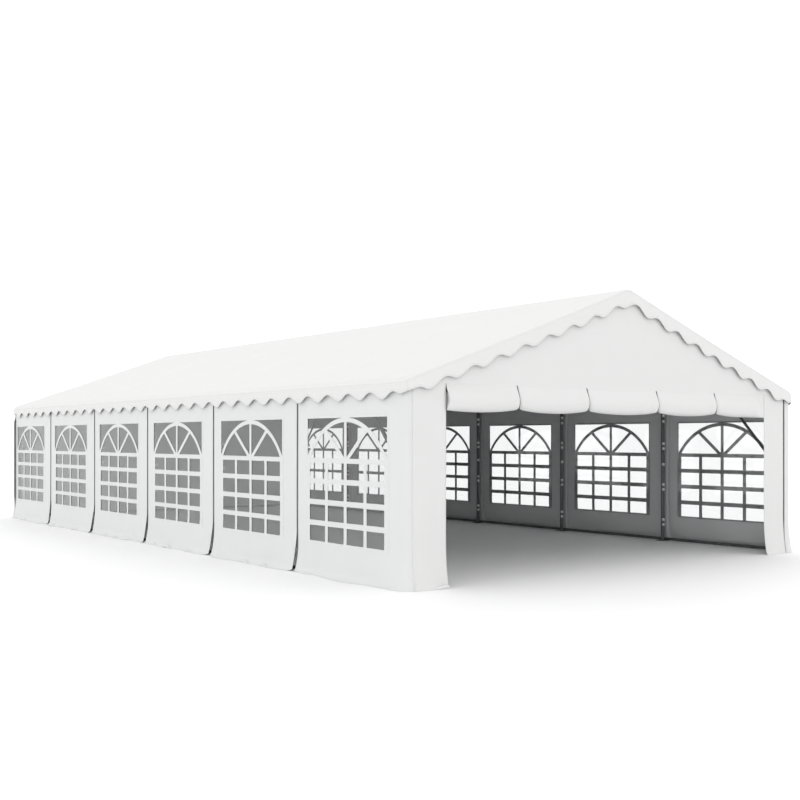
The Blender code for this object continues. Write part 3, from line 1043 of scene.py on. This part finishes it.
# The front gable and its rolled door
# One cloth closes the front gable and runs down in a narrow strip on each side of the doorway.
# The door hangs from it, rolled up with its white coat outside, and sags between its tapes.
GABLE_WHITE = (0.715, 0.715, 0.712)
FRONT_LEFT_X = -2.944
FRONT_RIGHT_X = 2.83
DOOR_LEFT_X = -2.543
DOOR_RIGHT_X = 2.435
DOOR_HEAD_Z = 1.96
DOOR_HEM_TOP_Z = 1.70
END_FLAT_X = WALL_X - CORNER_R
SEAM_LAP = 0.0026
SEAM_WIDTH = 0.045
SEAM_FADE = 0.02
STRIP_LOOSE = 0.3
LOOSE_IN_MIDDLE = 0.65
LOOSE_TO_LEFT = 0.15
UNDER_ROOF = 0.008
HEAD_REACH = 0.0002
HEAD_WELD = 0.0003
ROLL_LEFT_X = DOOR_LEFT_X + 0.002
ROLL_RIGHT_X = DOOR_RIGHT_X - 0.001
TAPES_X = (-1.61, -0.62, 0.48, 1.495)
TIED_LOW_Z = 1.722
SWAG_SAG = 0.042
LEFT_END_SWAG = 0.15
ROLL_HALF_HEIGHT = 0.09
ROLL_HALF_DEPTH = 0.058
ROLL_DEPTH_AT_TAPE = 0.75
ROLL_TURNS = 9 * pi
ROLL_CORE = 0.2
ROLL_MEAN_R = 0.05
ROLL_PITCH = 0.03
ROLL_EDGE = 0.15
ROLL_EDGE_PITCH = 0.01
ROLL_END_PITCH = 0.02
CREASE_REACH_LEFT = 0.07
CREASE_REACH_RIGHT = 0.035
CREASE_PITCH = 0.0022
STRIP_PITCH = 0.04
GABLE_PITCH = 0.05
RIGHT_END_RUN = 0.25
RIGHT_END_FULL = 0.06
LEFT_END_THIN = 0.35
LEFT_END_RUN = 0.06
LEFT_EDGE_BULGE = 0.018
LEFT_EDGE_RUN = 0.10
BULGE_TOP_Z = 1.90
BULGE_HEIGHT = 0.17
CREASE_TOP_Z = 1.96
CREASE_LOW_Z = 1.74
CREASE_LEAN = 0.022
CREASE_DEPTH = 0.013
CREASE_LEFT = 0.005
CREASE_RIGHT = 0.010
CREASE_START = 0.25
CREASE_LIP = 0.003
LIP_OFF = 2.2
TIED_REACH = 0.022
TIED_HEIGHT = 0.14
TIED_DEPTH = 0.35


def end_point(end, across, height, proud=0.0):
    """A point of the cloth that closes an end of the tent: end is -1 in front, 1 at the rear."""
    seed = 21.0 + end
    calm = clamped((END_FLAT_X - abs(across)) / CALM_RUN)
    loose = max(STRIP_LOOSE, min(1.0, LOOSE_IN_MIDDLE - LOOSE_TO_LEFT * across))
    out, z = skirt_point(height, END_FLARE, across, seed, calm, loose)
    out += soft_relief(across, height, seed, calm) + proud
    turn = max(0.0, abs(across) - END_FLAT_X) / CORNER_R
    x = min(abs(across), END_FLAT_X) + (CORNER_R + out) * sin(turn)
    y = WALL_Y - CORNER_R + (CORNER_R + out) * cos(turn)
    return Vector((copysign(x, across), end * y, z))


def front_point(across, height):
    """The flat parts of the front cloth: lapped over the left wall's edge, hemmed at its edges."""
    from_left, from_right = across - FRONT_LEFT_X, FRONT_RIGHT_X - across
    proud = hem_proud(min(from_left, from_right))
    proud += SEAM_LAP * clamped((SEAM_WIDTH - from_left) / SEAM_FADE)
    if height < DOOR_HEM_TOP_Z:
        proud = max(proud, hem_proud(DOOR_LEFT_X - across), hem_proud(across - DOOR_RIGHT_X))
    return end_point(-1, across, height, proud)


def swag(across):
    """Where the roll hangs between two tapes: 0 at a tape, and 1 at its lowest and fullest."""
    stops = (DOOR_LEFT_X, *TAPES_X, DOOR_RIGHT_X)
    for start, end in zip(stops, stops[1:]):
        if start <= across <= end:
            share = (across - start) / (end - start)
            if start == stops[0]:
                return sin(pi * (LEFT_END_SWAG + (1 - LEFT_END_SWAG) * share))
            if end == stops[-1] and share > 0.5:
                return 1.0
            return sin(pi * share)
    return 0.0


def crease_share(z):
    """0 where a crease starts, and 1 at its foot."""
    return clamped((CREASE_TOP_Z - z) / (CREASE_TOP_Z - CREASE_LOW_Z))


def crease_at(tape_x, z):
    """The crease over a tape leans to the left as it goes up."""
    return tape_x - CREASE_LEAN * (1 - crease_share(z) ** 1.7)


def creased(across, z):
    """How far a tape draws the roll's front in here, with the small lips beside the crease."""
    inward = 0.0
    pulled = min(1.0, crease_share(z) / CREASE_START)
    for tape_x in TAPES_X:
        off = across - crease_at(tape_x, z)
        width = CREASE_LEFT if off < 0 else CREASE_RIGHT
        inward += CREASE_DEPTH * pulled * exp(-((off / width) ** 2))
        inward -= CREASE_LIP * pulled * exp(-(((abs(off) - LIP_OFF * width) / width) ** 2))
    return inward


def tied(across):
    """1 where a tape squeezes the roll, and 0 away from it."""
    return max(exp(-(((across - tape_x) / TIED_REACH) ** 2)) for tape_x in TAPES_X)


def roll_point(across, turn):
    """The door at this angle of its turns: down from its head, under, up behind, and inwards."""
    hang = swag(across)
    from_left = across - ROLL_LEFT_X
    flat_end = clamped((ROLL_RIGHT_X - across) / RIGHT_END_RUN)
    full = RIGHT_END_FULL + (1 - RIGHT_END_FULL) * (flat_end * flat_end * (3 - 2 * flat_end))
    squeezed = tied(across)
    full *= 1 - LEFT_END_THIN * exp(-from_left / LEFT_END_RUN)
    depth = ROLL_HALF_DEPTH * (ROLL_DEPTH_AT_TAPE + (1 - ROLL_DEPTH_AT_TAPE) * hang) * full
    depth *= 1 - TIED_DEPTH * squeezed
    half_height = ROLL_HALF_HEIGHT * (1 - TIED_HEIGHT * squeezed)
    middle = TIED_LOW_Z - SWAG_SAG * hang**0.6 + ROLL_HALF_HEIGHT
    if turn < pi / 2:
        out = depth * sin(turn) ** 3
        z = DOOR_HEAD_Z - (DOOR_HEAD_Z - middle) * (1 - cos(turn))
    else:
        tight = 1 - (1 - ROLL_CORE) * max(0.0, turn - pi) / (ROLL_TURNS - pi)
        out = depth * tight * sin(turn)
        z = middle + half_height * tight * cos(turn)
    bulge = sin(pi * clamped((BULGE_TOP_Z - z) / BULGE_HEIGHT) ** 1.5)
    shift = LEFT_EDGE_BULGE * exp(-from_left / LEFT_EDGE_RUN) * bulge
    in_front = max(0.0, sin(turn)) if turn < pi else 0.0
    return end_point(-1, across + shift, z, out - creased(across, z) * in_front**0.7)


def end_piece(name, meshes):
    """The cloth of an end of the tent, joined under the door's head and cut below the roof."""
    bm = bmesh.new()
    for mesh in meshes:
        bm.from_mesh(mesh)
        bpy.data.meshes.remove(mesh)
    made = bpy.data.meshes.new(name)
    for side in SIDES.values():
        top = (0, 0, RIDGE_Z - UNDER_ROOF)
        cut_mesh(bm, top, (side * ROOF_SLOPE, 0, 1), clear_outer=True)
    at_head = [vert for vert in bm.verts if abs(vert.co.z - DOOR_HEAD_Z) < HEAD_REACH]
    bmesh.ops.remove_doubles(bm, verts=at_head, dist=HEAD_WELD)
    bm.to_mesh(made)
    bm.free()
    made.shade_smooth()
    return link_piece(name, made)


gable_white = coated_cloth("gable_cloth_white", GABLE_WHITE)
left_columns = hemmed_steps(FRONT_LEFT_X, DOOR_LEFT_X, EDGE_PITCH, True, True)
right_columns = hemmed_steps(DOOR_RIGHT_X, FRONT_RIGHT_X, EDGE_PITCH, True, True)
roll_columns = steps(ROLL_LEFT_X, ROLL_LEFT_X + ROLL_EDGE, ROLL_EDGE_PITCH)
for tape_x in TAPES_X:
    roll_columns += steps(roll_columns[-1], tape_x - CREASE_REACH_LEFT, ROLL_PITCH)[1:]
    roll_columns += steps(roll_columns[-1], tape_x + CREASE_REACH_RIGHT, CREASE_PITCH)[1:]
roll_columns += steps(roll_columns[-1], ROLL_RIGHT_X, ROLL_END_PITCH)[1:]
strip_rows = [row for row in panel_rows if row < WINDOW_HIGH_Z - 0.01]
strip_rows += steps(WINDOW_HIGH_Z, DOOR_HEAD_Z, STRIP_PITCH)
gable_rows = steps(DOOR_HEAD_Z, RIDGE_Z, GABLE_PITCH)
turns = steps(0, pi / 2, pi / 18) + steps(pi / 2, ROLL_TURNS, pi / 8)[1:]
forward = (0, -1, 0)
front_parts = [
    grid_mesh(
        "gable", left_columns + roll_columns + right_columns, gable_rows, front_point, forward
    ),
    grid_mesh("left_strip", left_columns, strip_rows, front_point, forward),
    grid_mesh("right_strip", right_columns, strip_rows, front_point, forward),
    grid_mesh(
        "roll", roll_columns, [DOOR_HEAD_Z - turn * ROLL_MEAN_R for turn in turns],
        lambda across, row: roll_point(across, (DOOR_HEAD_Z - row) / ROLL_MEAN_R), forward,
    ),
]
front = end_piece("front_cloth", front_parts)
line_cloth(front, gable_white, painted_shade_lining)


# The tapes of the doors
# Each door has four ties sewn under its head. In front an elastic cord goes round the roll
# in each crease, with a small bow of white tape on it; the cord's near-black colour is painted
# shade that darkens the line of the crease. At the rear, where the door hangs down, two white
# tapes hang free from each place.
TAPE_R = 0.0022
CORD_R = 0.0045
CORD_STAND = 0.009
CORD_START = 0.03 * pi
CORD_END = 1.9 * pi
CORD_RISE = 0.15
KNOT_Z = 1.775
KNOT_OFF = (0.004, -0.006, 0)
BOW_MM = (
    ((0, 0, 0), (12, -4, 12), (18, -5, 28), (8, -5, 30), (0, 0, 4)),
    ((0, 0, 0), (10, -5, -6), (18, -6, -18), (6, -6, -20), (0, 0, -3)),
    ((0, 0, 0), (6, -4, -14), (10, -4, -34), (7, -3, -52)),
    ((0, 0, 0), (-4, -4, -12), (-3, -5, -30), (-8, -3, -44)),
)


def round_cord(tree, curve, radius, caps):
    """A round cord along a curve."""
    ring = wire(
        tree, "GeometryNodeCurvePrimitiveCircle", "Curve", Resolution=8, Radius=radius
    )
    return wire(
        tree, "GeometryNodeCurveToMesh", Curve=curve, Profile_Curve=ring, Fill_Caps=caps
    )


def cord_tree():
    """Geometry Nodes that run a round cord along every chain of edges."""
    tree, given = geometry_tree(
        "cord_along_path", Path="Geometry", Radius="Float", Material="Material"
    )
    curve = wire(tree, "GeometryNodeMeshToCurve", Mesh=given["Path"])
    smooth = wire(tree, "GeometryNodeCurveSplineType", spline_type="CATMULL_ROM", Curve=curve)
    return end_tree(tree, round_cord(tree, smooth, given["Radius"], True), given["Material"])


def corded(name, chains, radius, material):
    """A piece made of round cord along each chain of points."""
    points = [point for chain in chains for point in chain]
    edges = []
    first = 0
    for chain in chains:
        edges += [(first + step, first + step + 1) for step in range(len(chain) - 1)]
        first += len(chain)
    mesh = bpy.data.meshes.new(name)
    mesh.from_pydata(points, edges, [])
    return grown(name, cord_along_path, mesh, Radius=radius, Material=material)


def round_roll(tape_x):
    """The cord's way down in the crease, under the roll and up behind it."""
    way = []
    for turn in steps(CORD_START, CORD_END, pi / 16):
        across = tape_x
        for _ in range(3):
            across = crease_at(tape_x, roll_point(across, turn).z)
        outward = Vector((0, -sin(turn), cos(turn)))
        risen = min(1.0, (turn - CORD_START) / (CORD_RISE * pi))
        stand = CORD_STAND * risen - CORD_R * (1 - risen)
        way.append(roll_point(across, turn) + stand * outward)
    return way


tape_white, tape_shader = plain_material("tape_white", (0.72, 0.72, 0.71), 0.75, specular=0.2)
tape_weave = wire(
    tape_white.node_tree, "ShaderNodeTexWave", "Fac", wave_type="BANDS", Scale=180.0,
    Vector=wire(tape_white.node_tree, "ShaderNodeTexCoord", "Object"),
)
fill(tape_shader, Normal=relief(tape_weave, 0.5, 0.0004))
# The dark elastic of the ball ties; on the door's cords the same near-black is painted shade in
# the roll's creases.
elastic_and_crease_shade = spotted_material("elastic_cord", (0.07, 0.07, 0.075), (0.14, 0.14, 0.145), 0.8, 160.0)
cord_along_path = cord_tree()
ways = [round_roll(tape_x) for tape_x in TAPES_X]
bows = []
for way in ways:
    knot = min(way[: len(way) // 2], key=lambda spot: abs(spot.z - KNOT_Z)) + Vector(KNOT_OFF)
    for shape in BOW_MM:
        bows.append([knot + Vector([size / 1000 for size in step]) for step in shape])
# Cords in the creases of the roll, coloured near black as painted shade for the creases.
front_crease_shade_cords = corded("front_door_cords", ways, CORD_R, elastic_and_crease_shade)
front_tapes = corded("front_door_tapes", bows, TAPE_R, tape_white)

for piece in (front, front_crease_shade_cords, front_tapes):
    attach(piece, "root")
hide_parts("front_wall", "door_roll")


# The rear wall
# The closed end: one cloth up to the roof, with its door let down and lapped behind the two
# strips beside it. It wraps round both corners and stands a little off the long walls.
REAR_WRAP_STAND = 0.03
REAR_WRAP_END = 0.03
REAR_WRAP_ARC = (CORNER_R + REAR_WRAP_STAND / 2) * pi / 2
REAR_WRAP_TOP_Z = 1.72
REAR_WRAP_TOP_FADE = 0.1
REAR_WRAP_LOW_Z = 0.15
REAR_WRAP_LOW_FADE = 0.25
REAR_LAP_START = 0.07
REAR_LAP_FADE = 0.03
REAR_EDGE = END_FLAT_X + REAR_WRAP_ARC + REAR_WRAP_END
REAR_SEAMS_X = (-DOOR_RIGHT_X, -DOOR_LEFT_X)
REAR_SEAM_STEP = 0.001
REAR_WRAP_PITCH = 0.015
REAR_DOOR_PITCH = 0.06
REAR_TAPE_LENGTH = 0.42
REAR_TAPE_SPREAD = 0.010
REAR_TAPE_OFF = 0.004
REAR_TAPE_WAVE = 0.003
REAR_TAPE_SWAY = 0.004
REAR_TAPE_STEP = 0.08


def rear_point(across, height):
    """The strips stand proud of the door between them, and wrap over the long walls' edges."""
    past = abs(across) - END_FLAT_X
    proud = hem_proud(REAR_EDGE - abs(across))
    proud += SEAM_LAP * clamped((past + REAR_LAP_START) / REAR_LAP_FADE)
    from_seam = max(REAR_SEAMS_X[0] - across, across - REAR_SEAMS_X[1])
    if from_seam > 0 and height < DOOR_HEAD_Z:
        proud = max(proud, SEAM_LAP) + hem_proud(from_seam)
    if past <= 0:
        return end_point(1, across, height, proud)
    turn = min(1.0, past / REAR_WRAP_ARC) * pi / 2
    from_top = (REAR_WRAP_TOP_Z + REAR_WRAP_TOP_FADE - height) / REAR_WRAP_TOP_FADE
    clear = clamped(min(from_top, (height - REAR_WRAP_LOW_Z) / REAR_WRAP_LOW_FADE))
    flare = END_FLARE + (SIDE_FLARE - END_FLARE) * turn * 2 / pi
    out, z = skirt_point(height, flare, across, 22.0, 0.0)
    reach = CORNER_R + REAR_WRAP_STAND * sin(turn) ** 2 * clear + out + proud
    x = copysign(END_FLAT_X + reach * sin(turn), across)
    y = WALL_Y - CORNER_R + reach * cos(turn) - max(0.0, past - REAR_WRAP_ARC)
    return Vector((x, y, z))


def rear_cloth_here(across, height):
    """Round the corners the cloth ends at the eave."""
    return abs(across) < END_FLAT_X or height < PANEL_TOP_Z


left_seam, right_seam = REAR_SEAMS_X[0] - REAR_SEAM_STEP, REAR_SEAMS_X[1] + REAR_SEAM_STEP
door_left, door_right = REAR_SEAMS_X[0] + REAR_SEAM_STEP, REAR_SEAMS_X[1] - REAR_SEAM_STEP
rear_columns = hemmed_steps(-REAR_EDGE, -END_FLAT_X, REAR_WRAP_PITCH, True, False)
rear_columns += hemmed_steps(-END_FLAT_X, left_seam, STRIP_PITCH, False, True)[1:]
rear_columns += steps(door_left, door_right, REAR_DOOR_PITCH)
rear_columns += hemmed_steps(right_seam, END_FLAT_X, STRIP_PITCH, True, False)
rear_columns += hemmed_steps(END_FLAT_X, REAR_EDGE, REAR_WRAP_PITCH, False, True)[1:]
rear_rows = strip_rows[:-1] + [PANEL_TOP_Z] + gable_rows
rear = end_piece(
    "rear_cloth",
    [grid_mesh("rear", rear_columns, rear_rows, rear_point, (0, 1, 0), rear_cloth_here)],
)
line_cloth(rear, gable_white, painted_shade_lining)
rear_chains = []
for tape_x in TAPES_X:
    for side in (-1, 1):
        way = []
        for share in steps(0, 1, REAR_TAPE_STEP):
            down = DOOR_HEAD_Z - REAR_TAPE_LENGTH * share
            spot = end_point(1, -tape_x + REAR_TAPE_SPREAD * side * share, down)
            sway = REAR_TAPE_SWAY * sin(5 * share * side)
            off = REAR_TAPE_OFF + REAR_TAPE_WAVE * sin(2.2 * pi * share + side)
            way.append(spot + Vector((sway, off, 0)))
        rear_chains.append(way)
rear_tapes = corded("rear_door_tapes", rear_chains, TAPE_R, tape_white)
for piece in (rear, rear_tapes):
    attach(piece, "root")
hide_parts("rear_wall")


# The corner braces
# Four round tubes of the same coated steel, one beside each corner post. Each is clamped under
# the eave rail and runs down to the post, and covers the plain bar that stands for it.
POST_X = 2.915
BRACE_R = 0.019
BRACE_RAIL_Y = 5.05
BRACE_LOW_Z = 0.98
BRACE_STEP = 0.1
EAVE_TUBE_R = 0.025

eave_rail_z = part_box("left_eave_rail")[1][2] - EAVE_TUBE_R
brace_chains = []
for side_x in (-POST_X, POST_X):
    for end in (-1, 1):
        top = Vector((side_x, end * BRACE_RAIL_Y, eave_rail_z))
        foot = Vector((side_x, end * PORTALS_Y[-1], BRACE_LOW_Z))
        brace_chains.append([top.lerp(foot, share) for share in steps(0, 1, BRACE_STEP)])
braces = corded("corner_braces", brace_chains, BRACE_R, steel)
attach(braces, "root")


# The ball ties of the posts
# Loops of elastic cord, each closed by a ball, hold the edges of the wall panels to the posts.
# The balls lean toward the middle of the tent.
POST_R = 0.025
BALL_TIES_Z = (0.225, 0.295, 0.715, 0.785, 1.065, 1.285, 1.355, 1.665, 1.745)
ELASTIC_R = 0.003
BALL_R = 0.020
BALL_TURNS = (radians(-53), radians(-127))
FRONT_BALL_TURNS = (radians(25), radians(155))


def ball_tie_tree():
    """Geometry Nodes that put a loop of cord and its ball round a post at each point."""
    tree, given = geometry_tree(
        "ball_ties", Points="Geometry", Post_Radius="Float", Cord_Radius="Float",
        Ball_Radius="Float", Left_Turn="Float", Right_Turn="Float", Cord="Material",
        Ball="Material",
    )
    reach = given["Post_Radius"] + given["Cord_Radius"]
    loop = wire(tree, "GeometryNodeCurvePrimitiveCircle", "Curve", Resolution=28, Radius=reach)
    cord = round_cord(tree, loop, given["Cord_Radius"], False)
    ball = wire(
        tree, "GeometryNodeMeshUVSphere", "Mesh", Segments=16, Rings=10,
        Radius=given["Ball_Radius"],
    )
    ball_x = wire(tree, "ShaderNodeCombineXYZ", X=reach + given["Ball_Radius"])
    ball = wire(tree, "GeometryNodeTransform", Geometry=ball, Translation=ball_x)
    tie = join(tree, [
        wire(tree, "GeometryNodeSetMaterial", Geometry=part, Material=material)
        for part, material in ((cord, given["Cord"]), (ball, given["Ball"]))
    ])
    on_right = reckon("GREATER_THAN", point_place(tree, "X"), 0.0)
    turn = on_right * (given["Right_Turn"] - given["Left_Turn"]) + given["Left_Turn"]
    laid = wire(
        tree, "GeometryNodeInstanceOnPoints", Points=given["Points"], Instance=tie,
        Rotation=wire(tree, "ShaderNodeCombineXYZ", Z=turn),
    )
    return end_tree(tree, laid)


ball_white = spotted_material("ball_white", (0.84, 0.83, 0.81), (0.90, 0.89, 0.87), 0.35, 60.0)
ball_ties = ball_tie_tree()
for number, y in enumerate(reversed(PORTALS_Y), 1):
    points = bpy.data.meshes.new("tie_points")
    points.from_pydata([(x, y, z) for x in (-POST_X, POST_X) for z in BALL_TIES_Z], [], [])
    left_turn, right_turn = FRONT_BALL_TURNS if y == PORTALS_Y[0] else BALL_TURNS
    ties = grown(
        f"ball_ties_{number}", ball_ties, points, Post_Radius=POST_R, Cord_Radius=ELASTIC_R,
        Ball_Radius=BALL_R, Left_Turn=left_turn, Right_Turn=right_turn, Cord=elastic_and_crease_shade,
        Ball=ball_white,
    )
    ties.data.shade_smooth()
    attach(ties, "root")


low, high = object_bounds()
